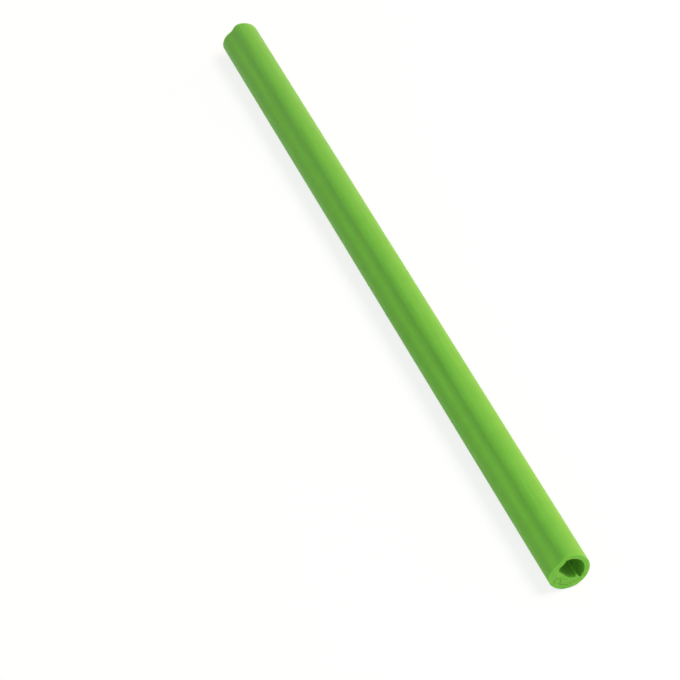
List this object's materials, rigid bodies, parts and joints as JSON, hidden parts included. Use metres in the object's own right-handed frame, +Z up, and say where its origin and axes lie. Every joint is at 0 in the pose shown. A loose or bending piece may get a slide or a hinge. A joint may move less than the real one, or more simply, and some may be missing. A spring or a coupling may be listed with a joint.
{
  "type": "drinking straw",
  "caption": "Soft silicone drinking straw with a peel-open lengthwise seam, a hinge groove and an off-centre bore, lying on its side.",
  "frame": {"origin": "middle of the straw's length, on the flat it rests on, under the centre of its round outside", "axes": "+Z up, +Y along the straw from the near end to the far end, +X to the right seen from the near end"},
  "size_m": [0.0113, 0.245, 0.0114],
  "materials": {
    "silicone": "satin green food-grade silicone"
  },
  "bodies": {
    "root": {"straw": "silicone"}
  },
  "joints": []
}
